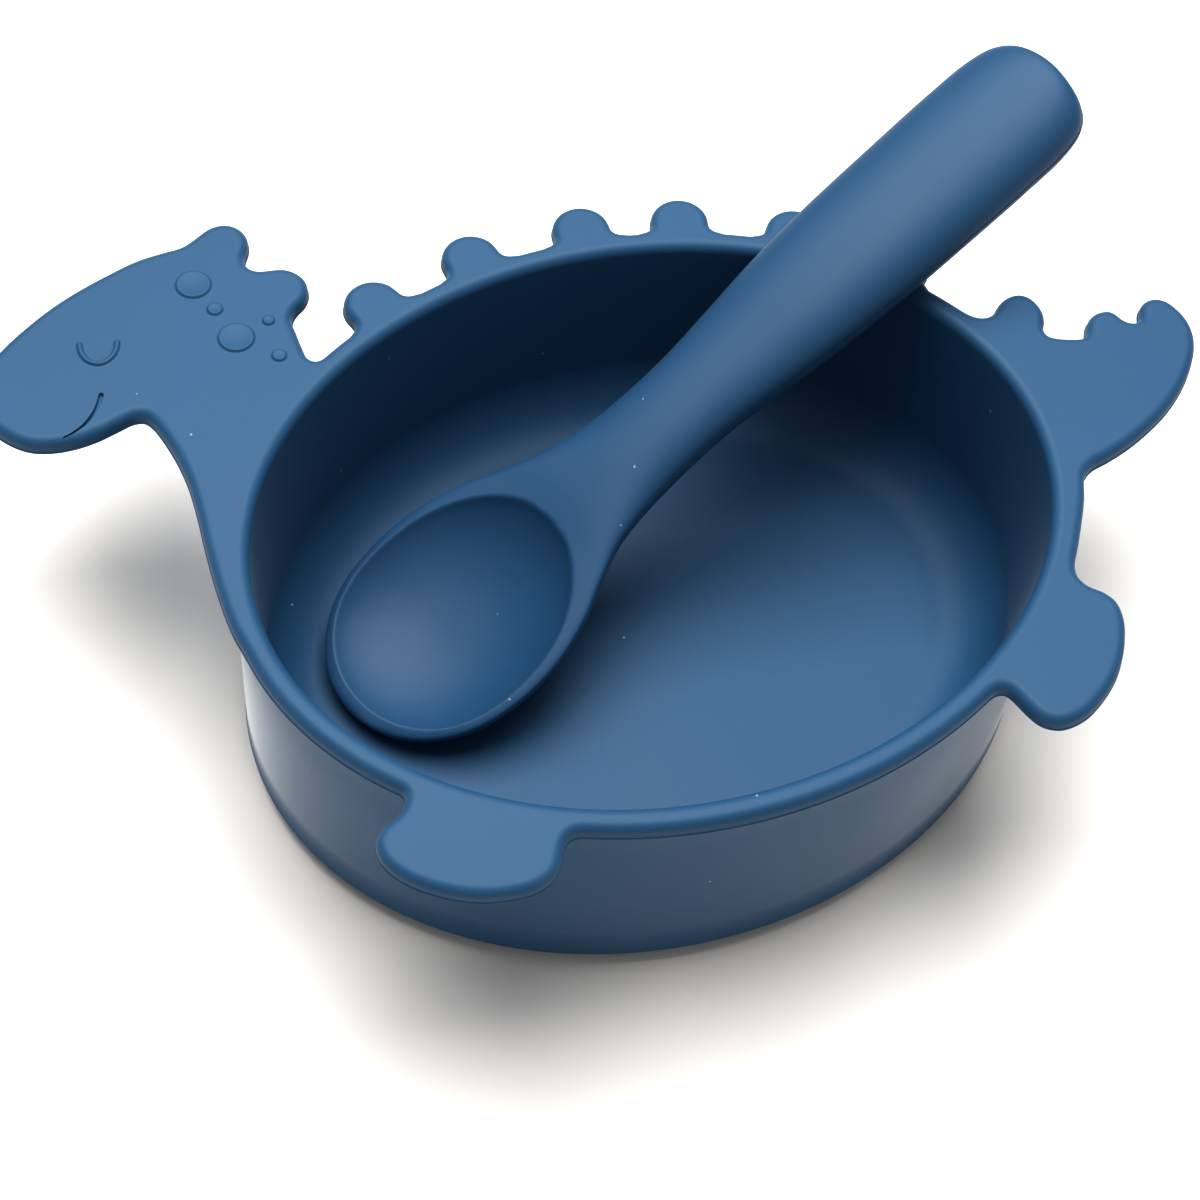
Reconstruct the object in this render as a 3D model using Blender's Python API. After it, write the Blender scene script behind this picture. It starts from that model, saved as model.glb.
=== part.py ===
"""Dinosaur suction bowl for a baby: a moulded silicone bowl, its dark suction base and the spoon in it.

Frame: metres, +Z up, the table at z = 0. +X runs from the animal's nose to its tail, +Y from its feet to
its back spikes. The bowl's own centre stands at BOWL_CENTRE: the origin is under the middle of the set.
"""

from math import cos, hypot, pi, radians, sin, tan

import bmesh
import bpy
from mathutils import Matrix, Vector

MM = 0.001

# ---- driving dimensions, in millimetres ------------------------------------------------------------------
INNER_A = 60.0  # mouth of the bowl, half its length along X, at the rim's inner edge
INNER_B = 48.2  # the same along Y
RIM_TOP = 43.5  # height of the rim and flange above the table
WALL_FOOT = 3.2  # height of the wall's sharp lower edge above the table
WALL = 2.5  # wall thickness
RIM_BAND = 3.9  # flat rim, from its inner edge to its outer edge
FLANGE = 2.6  # thickness of the flange that carries the head, spikes, tail and feet
EDGE_ROUND = 1.3  # rounding of the flange's upper edge and of the rim's inner edge
DRAFT = 1.0  # how far the cavity's wall leans in from rim to floor
FLOOR_TOP = 8.0  # height of the bowl's inside floor above the table
FLOOR_ROUND = 10.0  # radius between the inside wall and the floor

GAP = 0.3  # clearance between touching pieces
LIP_INSET = 2.4  # suction lip's outer edge, in from the wall's outer face
LIP_THICK = 1.3  # suction lip at its edge
LIP_BAND = 3.4  # flat band of the lip that touches the table
DOME = 1.5  # height of the suction hollow over the table, in the middle
PLUG_INSET = 15.0  # plug's side, in from the wall's outer face
PLUG_RISE = 2.2  # plug's height over the wall's foot
PLUG_BEAD = 0.7  # how far the plug's snap bead stands out

TAB_ANGLE = 72.0  # direction of the release tab from the bowl's centre, degrees from +X
TAB_WIDTH = 15.0
TAB_REACH = 9.5  # how far the tab stands out past the lip
TAB_THICK = 1.5

SPOON_TIP = (-48.2, 2.0, 11.7)  # where the scoop's rim plane meets the tip, from the bowl's centre
SPOON_TURN = 16.3  # direction of the handle over the table, degrees from +X
SPOON_RISE = 21.5  # slope of the handle, degrees
SPOON_ROLL = 0.0  # turn of the spoon about its own length, degrees

BOWL_CENTRE = (-2.86, -9.79)  # bowl's centre in the row frame

# Spikes along the back: each is a round knob on the rim, placed by its angle on the rim's ellipse.
KNOB_ANGLES = (33.5, 50.3, 67.0, 81.0, 97.2, 113.0)
KNOB_RADIUS = 4.75
KNOB_RISE = 2.2  # height of the knob's centre over the rim's outer edge
KNOB_FOOT = [(-6.0, 0.05), (-5.15, 0.35), (-4.75, 1.1)]  # fillet: across the knob, and out from the rim
KNOB_MARGIN = 6.4  # degrees of rim between a knob's middle and the next plain rim

# Raised round spots on the neck: centre, radius.
SPOTS = [
    ((-50.3, 62.2), 2.7),
    ((-48.8, 56.3), 1.25),
    ((-47.5, 49.9), 2.7),
    ((-41.9, 51.6), 0.9),
    ((-42.6, 44.6), 1.15),
]
SPOT_RISE = 0.45
SPOT_TAPER = 0.25
SPOT_DEPTH = 1.5  # whole height of a spot's disc, most of it sunk in the flange
EYE_CENTRE = (-67.3, 56.6)
EYE_RADIUS = 2.9
EYE_STROKE = 0.42
SMILE_CENTRE = (-77.4, 49.6)
SMILE_RADIUS = 8.2
SMILE_DEPTH = 0.5

OVAL_STEPS = 80
SLATE_BLUE = (0.085, 0.205, 0.345, 1.0)
SPOON_BLUE = (0.080, 0.195, 0.330, 1.0)
MIDNIGHT = (0.006, 0.009, 0.018, 1.0)


# ---- helpers ---------------------------------------------------------------------------------------------
def clear_scene():
    for thing in list(bpy.data.objects):
        bpy.data.objects.remove(thing, do_unlink=True)


def new_collection(name):
    collection = bpy.data.collections.new(name)
    bpy.context.scene.collection.children.link(collection)
    return collection


def silicone(name, colour, roughness):
    material = bpy.data.materials.new(name)
    material.use_nodes = True
    shader = material.node_tree.nodes["Principled BSDF"]
    shader.inputs["Base Color"].default_value = colour
    shader.inputs["Roughness"].default_value = roughness
    shader.inputs["Metallic"].default_value = 0.0
    return material


def mesh_object(name, bm, collection, material=None):
    """The bmesh, given in millimetres, as a named object in metres, with its faces pointing out."""
    bmesh.ops.recalc_face_normals(bm, faces=bm.faces)
    bmesh.ops.scale(bm, vec=(MM, MM, MM), verts=bm.verts)
    mesh = bpy.data.meshes.new(name)
    bm.to_mesh(mesh)
    bm.free()
    mesh.shade_smooth()
    mesh.set_sharp_from_angle(angle=radians(35))
    thing = bpy.data.objects.new(name, mesh)
    collection.objects.link(thing)
    if material:
        mesh.materials.append(material)
    return thing


def as_cutter(thing):
    thing.hide_render = True
    thing.display_type = "WIRE"
    return thing


def boolean(target, operation, tool):
    """Adds an exact Boolean of the tool object to the target object."""
    modifier = target.modifiers.new(f"{operation.lower()}_{tool.name}", "BOOLEAN")
    modifier.operation = operation
    modifier.solver = "EXACT"
    modifier.object = as_cutter(tool)


def oval(semi_x, semi_y, degrees):
    return Vector((semi_x * cos(radians(degrees)), semi_y * sin(radians(degrees))))


def loft(sections):
    """A closed solid through rings of points. The first and last rings are capped."""
    bm = bmesh.new()
    rings = [[bm.verts.new(point) for point in ring] for ring in sections]
    count = len(rings[0])
    for lower, upper in zip(rings, rings[1:]):
        for k in range(count):
            bm.faces.new((lower[k], lower[(k + 1) % count], upper[(k + 1) % count], upper[k]))
    bm.faces.new(rings[0][::-1])
    bm.faces.new(rings[-1])
    return bm


def oval_loft(stations, steps=OVAL_STEPS):
    """A solid of oval sections. Each station is its outset from the rim's inner edge, and its height."""
    sections = []
    for outset, height in stations:
        ring = [oval(INNER_A + outset, INNER_B + outset, 360 * k / steps) for k in range(steps)]
        sections.append([(point.x, point.y, height) for point in ring])
    return loft(sections)


def quarter(centre, radius, start, end, steps):
    """Stations (outset, height) along an arc in the section plane, from one angle to another in degrees."""
    angles = [radians(start + (end - start) * k / steps) for k in range(steps + 1)]
    return [(centre[0] + radius * cos(a), centre[1] + radius * sin(a)) for a in angles]


# ---- flange outline --------------------------------------------------------------------------------------
def rounded(corners, steps_per_turn=24):
    """A closed outline from corners (x, y, radius): a corner with a radius becomes an arc."""
    outline = []
    count = len(corners)
    for k, (x, y, radius) in enumerate(corners):
        here = Vector((x, y))
        before = Vector(corners[k - 1][:2]) - here
        after = Vector(corners[(k + 1) % count][:2]) - here
        if radius <= 0:
            outline.append(here)
            continue
        angle = before.angle(after)
        reach = min(radius / tan(angle / 2), 0.49 * before.length, 0.49 * after.length)
        radius = reach * tan(angle / 2)
        bisector = before.normalized() + after.normalized()
        centre = here + bisector.normalized() * hypot(radius, reach)
        start = here + before.normalized() * reach - centre
        end = here + after.normalized() * reach - centre
        turn = start.angle_signed(end)
        steps = max(2, round(abs(turn) / (2 * pi) * steps_per_turn))
        for i in range(steps + 1):
            a = -turn * i / steps
            turned = Vector((start.x * cos(a) - start.y * sin(a), start.x * sin(a) + start.y * cos(a)))
            outline.append(centre + turned)
    return outline


# The outline's free shapes, anticlockwise, as points (x, y) that one smooth curve passes through.
# Head, from the last knob: nape, two horns, brow, snout, chin, throat, neck.
HEAD = [
    (-36.3, 42.9), (-37.6, 42.5), (-38.4, 43.4), (-38.5, 45.5), (-38.4, 49.0), (-38.2, 51.6),
    (-37.2, 52.8), (-35.2, 54.2), (-34.0, 56.0), (-33.7, 58.0), (-34.6, 60.1), (-36.3, 61.5),
    (-38.4, 62.0), (-40.1, 62.4), (-41.2, 63.7), (-41.1, 65.4), (-40.1, 66.9), (-39.3, 69.0),
    (-39.8, 71.4), (-41.7, 73.1), (-44.4, 73.2), (-47.2, 71.9), (-49.5, 70.9), (-52.4, 70.8),
    (-56.0, 70.6), (-62.6, 69.0), (-70.9, 66.0), (-76.0, 63.3), (-80.7, 60.2), (-84.2, 57.2),
    (-86.6, 53.5), (-87.0, 49.6), (-85.6, 46.2), (-83.6, 43.2), (-81.6, 41.4), (-79.0, 40.3),
    (-75.8, 39.8), (-72.0, 40.0), (-68.4, 40.8), (-65.9, 41.3), (-64.6, 41.0), (-63.9, 39.8),
    (-63.2, 37.1), (-62.5, 32.5), (-62.3, 27.6), (-62.7, 22.4), (-63.5, 15.9), (-64.2, 8.0),
    (-64.3, 1.1),
]
# Tail, from the rim at the front: underside, tip, three small bumps.
TAIL = [
    (54.4, -28.4), (56.8, -25.2), (58.8, -22.4), (60.2, -20.3), (61.2, -18.5), (62.2, -16.8),
    (63.8, -15.7), (67.4, -14.9), (71.3, -13.9), (75.7, -12.3), (80.2, -10.2), (84.4, -7.5),
    (88.0, -4.4), (90.8, -1.2), (92.4, 2.0), (92.8, 4.9), (92.4, 7.2), (91.5, 9.2),
    (90.1, 10.2), (88.4, 10.3), (86.9, 9.5), (86.0, 8.1), (85.3, 7.0), (84.1, 7.0),
    (83.1, 8.0), (82.7, 9.3), (81.9, 10.4), (80.4, 10.8), (78.7, 10.5), (77.3, 9.5),
    (76.3, 8.0), (75.3, 7.0), (73.5, 7.4), (71.4, 8.3), (70.2, 9.2), (70.2, 10.3),
    (71.1, 11.6), (71.8, 13.2), (71.9, 15.2), (71.4, 16.9), (70.3, 18.1), (68.7, 18.5),
    (66.8, 18.1), (65.2, 17.1), (64.0, 16.1), (62.6, 15.9),
]
LEFT_FOOT = [
    (-51.9, -30.2), (-51.2, -31.5), (-51.8, -32.9), (-53.4, -34.2), (-55.7, -35.2), (-57.2, -36.6),
    (-57.6, -38.9), (-56.9, -41.4), (-55.2, -43.9), (-52.8, -46.2), (-49.8, -48.3), (-46.7, -49.8),
    (-43.3, -50.7), (-39.6, -50.9), (-36.9, -49.9), (-35.1, -47.9), (-33.9, -46.0), (-32.5, -45.2),
]
RIGHT_FOOT = [
    (31.8, -45.4), (33.1, -45.8), (33.7, -47.3), (34.3, -49.6), (35.3, -52.0), (37.3, -53.5),
    (40.9, -53.6), (45.7, -51.6), (50.2, -48.2), (53.2, -44.4), (54.9, -41.1), (55.3, -38.0),
    (54.3, -35.9), (52.6, -34.0), (52.2, -32.2), (53.0, -30.2),
]
OUTLINE_SPACING = 1.35


def rim_arc(start, end, step=5.0):
    """Points along the rim's outer edge, from one ellipse angle to another."""
    count = max(1, round(abs(end - start) / step))
    angles = [start + (end - start) * k / count for k in range(count + 1)]
    return [tuple(oval(INNER_A + RIM_BAND, INNER_B + RIM_BAND, angle)) for angle in angles]


def knob(degrees):
    """One round knob on the back with its small fillets to the rim, going anticlockwise."""
    root = oval(INNER_A + RIM_BAND, INNER_B + RIM_BAND, degrees)
    out = Vector((root.x / (INNER_A + RIM_BAND) ** 2, root.y / (INNER_B + RIM_BAND) ** 2)).normalized()
    along = Vector((-out.y, out.x))
    turns = [radians(angle) for angle in range(-96, 97, 24)]
    crown = [(KNOB_RADIUS * sin(turn), KNOB_RISE + KNOB_RADIUS * cos(turn)) for turn in turns]
    profile = KNOB_FOOT + crown + [(-across, rise) for across, rise in reversed(KNOB_FOOT)]
    return [tuple(root + along * across + out * rise) for across, rise in profile]


def smooth_outline(points, spacing):
    """A smooth closed curve through the points, again as points, about the spacing apart."""
    corners = [Vector(point) for point in points]
    count = len(corners)
    lengths = [(corners[(k + 1) % count] - corners[k]).length for k in range(count)]
    slopes = []
    for k in range(count):
        before, after = lengths[k - 1], lengths[k]
        into = (corners[k] - corners[k - 1]) / before
        onward = (corners[(k + 1) % count] - corners[k]) / after
        slopes.append((into * after + onward * before) / (before + after))
    dense = []
    for k in range(count):
        start, end, length = corners[k], corners[(k + 1) % count], lengths[k]
        pieces = max(1, round(length / spacing))
        for i in range(pieces):
            t = i / pieces
            toward_end = 3 * t**2 - 2 * t**3
            bend = slopes[k] * (t**3 - 2 * t**2 + t) + slopes[(k + 1) % count] * (t**3 - t**2)
            dense.append(start.lerp(end, toward_end) + bend * length)
    return dense


def flange_outline(spacing=OUTLINE_SPACING):
    """The silhouette seen from above, anticlockwise: oval rim, knobs, head with horns, feet and tail."""
    points = list(TAIL)
    last = KNOB_ANGLES[0] - 16.0 + KNOB_MARGIN
    for angle in KNOB_ANGLES:
        points += rim_arc(last, angle - KNOB_MARGIN) + knob(angle)
        last = angle + KNOB_MARGIN
    points += rim_arc(last, 122.0) + HEAD
    points += rim_arc(184.0, 212.0) + LEFT_FOOT
    points += rim_arc(241.0, 298.5) + RIGHT_FOOT
    return smooth_outline(points, spacing)


def flat_plate(name, outline, bottom, top, round_top, collection):
    """A plate cut to an outline, its upper edge rounded."""
    curve = bpy.data.curves.new(name, "CURVE")
    curve.dimensions = "2D"
    curve.fill_mode = "BOTH"
    curve.extrude = (top - bottom) / 2 * MM
    spline = curve.splines.new("POLY")
    spline.points.add(len(outline) - 1)
    for place, point in zip(spline.points, outline):
        place.co = (point.x * MM, point.y * MM, 0, 1)
    spline.use_cyclic_u = True
    guide = bpy.data.objects.new(name, curve)
    collection.objects.link(guide)
    guide.location.z = (top + bottom) / 2 * MM
    bpy.context.view_layer.update()
    mesh = bpy.data.meshes.new_from_object(guide.evaluated_get(bpy.context.evaluated_depsgraph_get()))
    bm = bmesh.new()
    bm.from_mesh(mesh)
    bm.transform(guide.matrix_world)
    bpy.data.objects.remove(guide, do_unlink=True)
    bmesh.ops.scale(bm, vec=(1 / MM, 1 / MM, 1 / MM), verts=bm.verts)
    bmesh.ops.remove_doubles(bm, verts=bm.verts, dist=0.01)
    bm.normal_update()
    # The curve's flat cap comes as many triangles. As one face, its rim alone takes the bevel.
    level = [face for face in bm.faces if abs(face.normal.z) > 0.5]
    bmesh.ops.dissolve_faces(bm, faces=[face for face in level if face.calc_center_median().z > top - 0.01])
    upper = [edge for edge in bm.edges if all(vert.co.z > top - 0.01 for vert in edge.verts)]
    bmesh.ops.bevel(bm, geom=upper, offset=round_top, segments=2, profile=0.5, affect="EDGES")
    return mesh_object(name, bm, collection)


# ---- pieces ----------------------------------------------------------------------------------------------
def cavity_stations():
    """The hollow inside the bowl, from the floor up past the rim: rounded foot, leaning wall, rolled lip."""
    foot = quarter((-DRAFT - FLOOR_ROUND, FLOOR_TOP + FLOOR_ROUND), FLOOR_ROUND, -90, 0, 8)
    roll = quarter((EDGE_ROUND, RIM_TOP - EDGE_ROUND), EDGE_ROUND, 180, 90, 4)
    return foot + roll + [(EDGE_ROUND, RIM_TOP + 5.0)]


def make_bowl(parts, cutters, material):
    """The bowl with its flange in one moulding, and the socket under it that takes the base's plug."""
    bowl = flat_plate("bowl_body", flange_outline(), RIM_TOP - FLANGE, RIM_TOP, EDGE_ROUND, parts)
    bowl.data.materials.append(material)
    tub = mesh_object(
        "tub", oval_loft([(WALL - 0.6, WALL_FOOT), (WALL, WALL_FOOT + 0.8), (WALL, RIM_TOP - 1.2)]), cutters
    )
    boolean(bowl, "UNION", tub)
    boolean(bowl, "DIFFERENCE", mesh_object("cavity", oval_loft(cavity_stations()), cutters))
    side = WALL - PLUG_INSET + GAP
    top = WALL_FOOT + PLUG_RISE + GAP
    socket = [
        (side, WALL_FOOT - 2.0),
        (side, WALL_FOOT + 0.5),
        (side + PLUG_BEAD, WALL_FOOT + 0.9),
        (side + PLUG_BEAD, top),
    ]
    boolean(bowl, "DIFFERENCE", mesh_object("plug_socket", oval_loft(socket, 64), cutters))
    for k, (centre, radius) in enumerate(SPOTS):
        bm = bmesh.new()
        bmesh.ops.create_cone(
            bm, cap_ends=True, segments=20, radius1=radius, radius2=radius - SPOT_TAPER, depth=SPOT_DEPTH
        )
        bmesh.ops.translate(bm, verts=bm.verts, vec=(*centre, RIM_TOP + SPOT_RISE - SPOT_DEPTH / 2))
        boolean(bowl, "UNION", mesh_object(f"spot_{k + 1}", bm, cutters))
    boolean(bowl, "UNION", mesh_object("eye", eyelid(), cutters))
    boolean(bowl, "DIFFERENCE", mesh_object("smile", smile(), cutters))
    return bowl


def bent_stroke(centre, radius, start, end, half_widths, bottom, top, steps=10):
    """A flat bar bent along an arc, wider or narrower along its length, as one closed solid."""
    sections = []
    for k in range(steps + 1):
        along = k / steps
        angle = radians(start + (end - start) * along)
        half = half_widths(along)
        out = Vector((cos(angle), sin(angle)))
        middle = Vector(centre) + out * radius
        inner = middle - out * half
        outer = middle + out * half
        sections.append([(*inner, bottom), (*outer, bottom), (*outer, top), (*inner, top)])
    return loft(sections)


def eyelid():
    return bent_stroke(
        EYE_CENTRE, EYE_RADIUS, 172, 328, lambda along: EYE_STROKE, RIM_TOP - 0.5, RIM_TOP + SPOT_RISE * 0.8
    )


def smile():
    """The mouth's groove, deepest line in the middle and drawn out to a point at the cheek."""
    return bent_stroke(
        SMILE_CENTRE,
        SMILE_RADIUS,
        -25,
        -82,
        lambda along: 0.2 + 0.35 * sin(pi * along) ** 0.6,
        RIM_TOP - SMILE_DEPTH,
        RIM_TOP + 1.0,
    )


def make_base(parts, cutters, material):
    """The suction base: a flexible lip on the table, a shallow hollow under it, a plug with a snap bead."""
    lip = WALL - LIP_INSET
    plug = WALL - PLUG_INSET
    under = WALL_FOOT - GAP
    stations = [
        (lip - 0.5, 0.0),
        (lip, 0.4),
        (lip, LIP_THICK),
        (lip - 3.0, under - 0.5),
        (lip - 4.5, under),
        (plug, under),
        (plug, WALL_FOOT + 0.7),
        (plug + PLUG_BEAD, WALL_FOOT + 1.2),
        (plug + PLUG_BEAD, WALL_FOOT + PLUG_RISE - 0.3),
        (plug, WALL_FOOT + PLUG_RISE),
    ]
    base = mesh_object("suction_base", oval_loft(stations, 64), parts, material)
    inner = lip - LIP_BAND
    hollow = [(inner, -1.0), (inner, 0.0), (inner - 5.0, 0.9), (inner - 14.0, DOME), (-40.0, DOME + 0.1)]
    boolean(base, "DIFFERENCE", mesh_object("suction_hollow", oval_loft(hollow, 64), cutters))
    boolean(base, "UNION", mesh_object("release_tab", release_tab(lip), cutters))
    return base


def release_tab(lip):
    """The finger tab that breaks the seal: a tongue out of the lip with a thicker, rounded grip end."""
    root = oval(INNER_A + lip, INNER_B + lip, TAB_ANGLE)
    out = Vector((root.x / (INNER_A + lip) ** 2, root.y / (INNER_B + lip) ** 2)).normalized()
    along = Vector((-out.y, out.x))
    half = TAB_WIDTH / 2
    start = root - out * 2.2
    corners = []
    for side, reach, radius in (
        (-half - 2.0, 0.0, 0.6), (-half, 3.4, 3.0), (-half, TAB_REACH + 2.2, 6.0),
        (half, TAB_REACH + 2.2, 6.0), (half, 3.4, 3.0), (half + 2.0, 0.0, 0.6),
    ):
        point = start + along * side + out * reach
        corners.append((point.x, point.y, radius))
    outline = rounded(corners, 32)
    middle = start + out * (TAB_REACH / 2 + 1.0)
    sections = []
    for shrink, height in ((0.94, 0.35), (1.0, 0.7), (1.0, TAB_THICK - 0.15), (0.96, TAB_THICK + 0.2)):
        sections.append([(*(middle + (point - middle) * shrink), height) for point in outline])
    return loft(sections)


# Stations along the spoon from the tip: distance, half width, top and bottom over the scoop's rim plane.
SPOON_STATIONS = [
    (0.6, 4.6, -0.1, -2.6),
    (2.4, 9.0, 0.0, -4.2),
    (6.0, 13.0, 0.0, -6.0),
    (12.0, 16.4, 0.0, -7.4),
    (20.0, 18.0, 0.0, -8.0),
    (28.0, 17.6, 0.2, -7.7),
    (35.0, 15.6, 0.6, -6.8),
    (41.0, 12.8, 1.3, -5.6),
    (47.0, 10.2, 2.2, -5.0),
    (54.0, 8.7, 2.9, -5.0),
    (63.0, 8.0, 3.5, -5.1),
    (72.0, 8.1, 4.0, -5.2),
    (82.0, 9.1, 4.6, -5.4),
    (92.0, 10.2, 5.3, -5.7),
    (104.0, 10.9, 5.8, -5.9),
    (118.0, 11.2, 6.0, -6.1),
    (130.0, 11.3, 6.1, -6.2),
    (138.5, 11.0, 6.1, -6.2),
    (143.0, 9.7, 6.0, -6.1),
    (145.3, 7.4, 5.8, -5.9),
    (146.0, 4.6, 5.4, -5.6),
]
# Stations along the scoop's hollow: distance from the tip, half width, depth.
HOLLOW_STATIONS = [
    (2.6, 1.6, 0.5),
    (3.6, 5.6, 1.5),
    (6.4, 10.4, 3.4),
    (11.0, 14.0, 5.2),
    (18.0, 16.2, 6.2),
    (26.0, 16.2, 6.2),
    (33.0, 13.6, 5.6),
    (38.0, 9.8, 4.4),
    (40.6, 6.0, 2.9),
    (41.8, 2.0, 1.0),
]


def smooth_stations(stations, spacing):
    """The stations again, closer together, on a smooth curve through them."""
    dense = []
    for k in range(len(stations) - 1):
        before = stations[max(k - 1, 0)]
        start, end = stations[k], stations[k + 1]
        after = stations[min(k + 2, len(stations) - 1)]
        pieces = max(1, round((end[0] - start[0]) / spacing))
        for i in range(pieces):
            t = i / pieces
            point = []
            for b, s, e, a in zip(before, start, end, after):
                m0 = (e - b) / 2
                m1 = (a - s) / 2
                h00 = 2 * t**3 - 3 * t**2 + 1
                h10 = t**3 - 2 * t**2 + t
                point.append(h00 * s + h10 * m0 + (1 - h00) * e + (t**3 - t**2) * m1)
            point[0] = start[0] + (end[0] - start[0]) * t
            dense.append(tuple(point))
    dense.append(stations[-1])
    return dense


def superoval(half_width, top, bottom, x, count, power):
    """One closed section across the spoon: a rounded oval between its top and bottom."""
    middle = (top + bottom) / 2
    half_height = (top - bottom) / 2
    ring = []
    for k in range(count):
        a = 2 * pi * k / count
        c, s = cos(a), sin(a)
        y = half_width * abs(c) ** (2 / power) * (1 if c > 0 else -1)
        z = middle + half_height * abs(s) ** (2 / power) * (1 if s > 0 else -1)
        ring.append((x, y, z))
    return ring


def scoop_section(half_width, top, bottom, x, count):
    """A section of the scoop: full round below, nearly flat on top."""
    ring = []
    for k in range(count):
        a = 2 * pi * k / count
        c, s = cos(a), sin(a)
        y = half_width * abs(c) ** 0.9 * (1 if c > 0 else -1)
        widest = top - 1.4
        z = widest + (top - widest) * abs(s) ** 0.5 if s > 0 else widest - (widest - bottom) * abs(s)
        ring.append((x, y, z))
    return ring


def make_spoon(parts, cutters, material):
    """The spoon in one moulding: a deep scoop, a narrow neck and a thick handle a small fist can hold."""
    count = 28
    sections = []
    for x, half_width, top, bottom in smooth_stations(SPOON_STATIONS, 5.0):
        scoop = scoop_section(half_width, top, bottom, x, count)
        handle = superoval(half_width, top, bottom, x, count, 2.3)
        blend = min(1.0, max(0.0, (x - 34.0) / 24.0))
        blend = blend * blend * (3 - 2 * blend)
        sections.append([Vector(a).lerp(Vector(b), blend) for a, b in zip(scoop, handle)])
    spoon = mesh_object("spoon", loft(sections), parts, material)
    hollow = []
    for x, half_width, depth in smooth_stations(HOLLOW_STATIONS, 3.5):
        hollow.append(superoval(half_width, depth, -depth, x, 24, 2.2))
    boolean(spoon, "DIFFERENCE", mesh_object("scoop_hollow", loft(hollow), cutters))
    spoon.matrix_world = (
        Matrix.Translation(Vector(SPOON_TIP) * MM)
        @ Matrix.Rotation(radians(SPOON_TURN), 4, "Z")
        @ Matrix.Rotation(-radians(SPOON_RISE), 4, "Y")
        @ Matrix.Rotation(radians(SPOON_ROLL), 4, "X")
    )
    for cutter in cutters.objects:
        if cutter.name == "scoop_hollow":
            cutter.matrix_world = spoon.matrix_world
    return spoon


def main():
    clear_scene()
    parts = new_collection("suction_bowl")
    cutters = new_collection("cutters")
    blue = silicone("bowl_silicone", SLATE_BLUE, 0.55)
    make_bowl(parts, cutters, blue)
    make_base(parts, cutters, silicone("base_silicone", MIDNIGHT, 0.5))
    make_spoon(parts, cutters, silicone("spoon_silicone", SPOON_BLUE, 0.52))
    # The whole set moves together to its place in the row frame.
    shift = Matrix.Translation(Vector((*BOWL_CENTRE, 0.0)) * MM)
    for thing in list(parts.objects) + list(cutters.objects):
        thing.matrix_world = shift @ thing.matrix_world


main()
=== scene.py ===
"""Looks of the dinosaur suction bowl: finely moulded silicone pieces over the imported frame, on a white table."""

from math import atan2, ceil, cos, hypot, pi, radians, sin, tan

import bmesh
import bpy
import numpy as np
from mathutils import Matrix, Vector
from mathutils.geometry import delaunay_2d_cdt
from mathutils.kdtree import KDTree


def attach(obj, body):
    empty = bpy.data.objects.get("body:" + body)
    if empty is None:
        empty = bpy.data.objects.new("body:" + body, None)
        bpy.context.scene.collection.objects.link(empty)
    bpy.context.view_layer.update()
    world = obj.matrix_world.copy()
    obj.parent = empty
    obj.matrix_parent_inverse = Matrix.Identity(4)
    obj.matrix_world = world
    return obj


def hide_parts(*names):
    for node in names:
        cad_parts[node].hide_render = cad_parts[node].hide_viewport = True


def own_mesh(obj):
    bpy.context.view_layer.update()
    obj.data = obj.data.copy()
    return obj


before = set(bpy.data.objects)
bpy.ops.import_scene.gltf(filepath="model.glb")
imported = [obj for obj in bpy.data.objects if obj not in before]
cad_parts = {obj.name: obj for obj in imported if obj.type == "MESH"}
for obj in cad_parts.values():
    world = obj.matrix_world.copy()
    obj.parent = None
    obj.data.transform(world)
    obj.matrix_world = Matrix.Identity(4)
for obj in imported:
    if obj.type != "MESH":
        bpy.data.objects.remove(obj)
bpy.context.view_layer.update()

MM = 0.001

# ---- the frame's driving dimensions, in millimetres --------------------------------------------------------------
BOWL_CENTRE = (-2.86, -9.79)  # the bowl's centre in the row frame
INNER_A = 60.0  # mouth of the bowl, half its length along X, at the rim's inner edge
INNER_B = 48.2  # the same along Y
RIM_TOP = 43.5
WALL_FOOT = 3.2
WALL = 2.5
RIM_BAND = 3.9
FLANGE = 2.6
DRAFT = 1.0
FLOOR_TOP = 8.0
FLOOR_ROUND = 10.0
GAP = 0.3
LIP_INSET = 2.4
LIP_THICK = 1.3
LIP_BAND = 3.4
DOME = 1.5
PLUG_INSET = 15.0
PLUG_RISE = 2.2
PLUG_BEAD = 0.7
TAB_ANGLE = 72.0
TAB_WIDTH = 15.0
TAB_REACH = 9.5
TAB_THICK = 1.5
SPOON_TIP = (-48.2, 2.0, 11.7)
SPOON_TURN = 16.3
SPOON_RISE = 21.5
SPOON_ROLL = 0.0

# ---- what only the fine surface has, in millimetres ---------------------------------------------------------------
ROLL = 1.5  # radius of the flange's upper edge
MOUTH_ROLL = 1.7  # radius of the rim's inner edge
FLASH = 0.12  # how far the mould's parting line stands out
OUTLINE_STEP = 0.45  # spacing of points along the flange's outline
OVAL_POINTS = 480
PAINTED_SHEEN_TOP = 40.5  # the wall's outside has painted sheen up to this height, just under the flange; it stands in for the white table's reflection
TO_ROW = Matrix.Translation(Vector((*BOWL_CENTRE, 0)) * MM)


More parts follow.
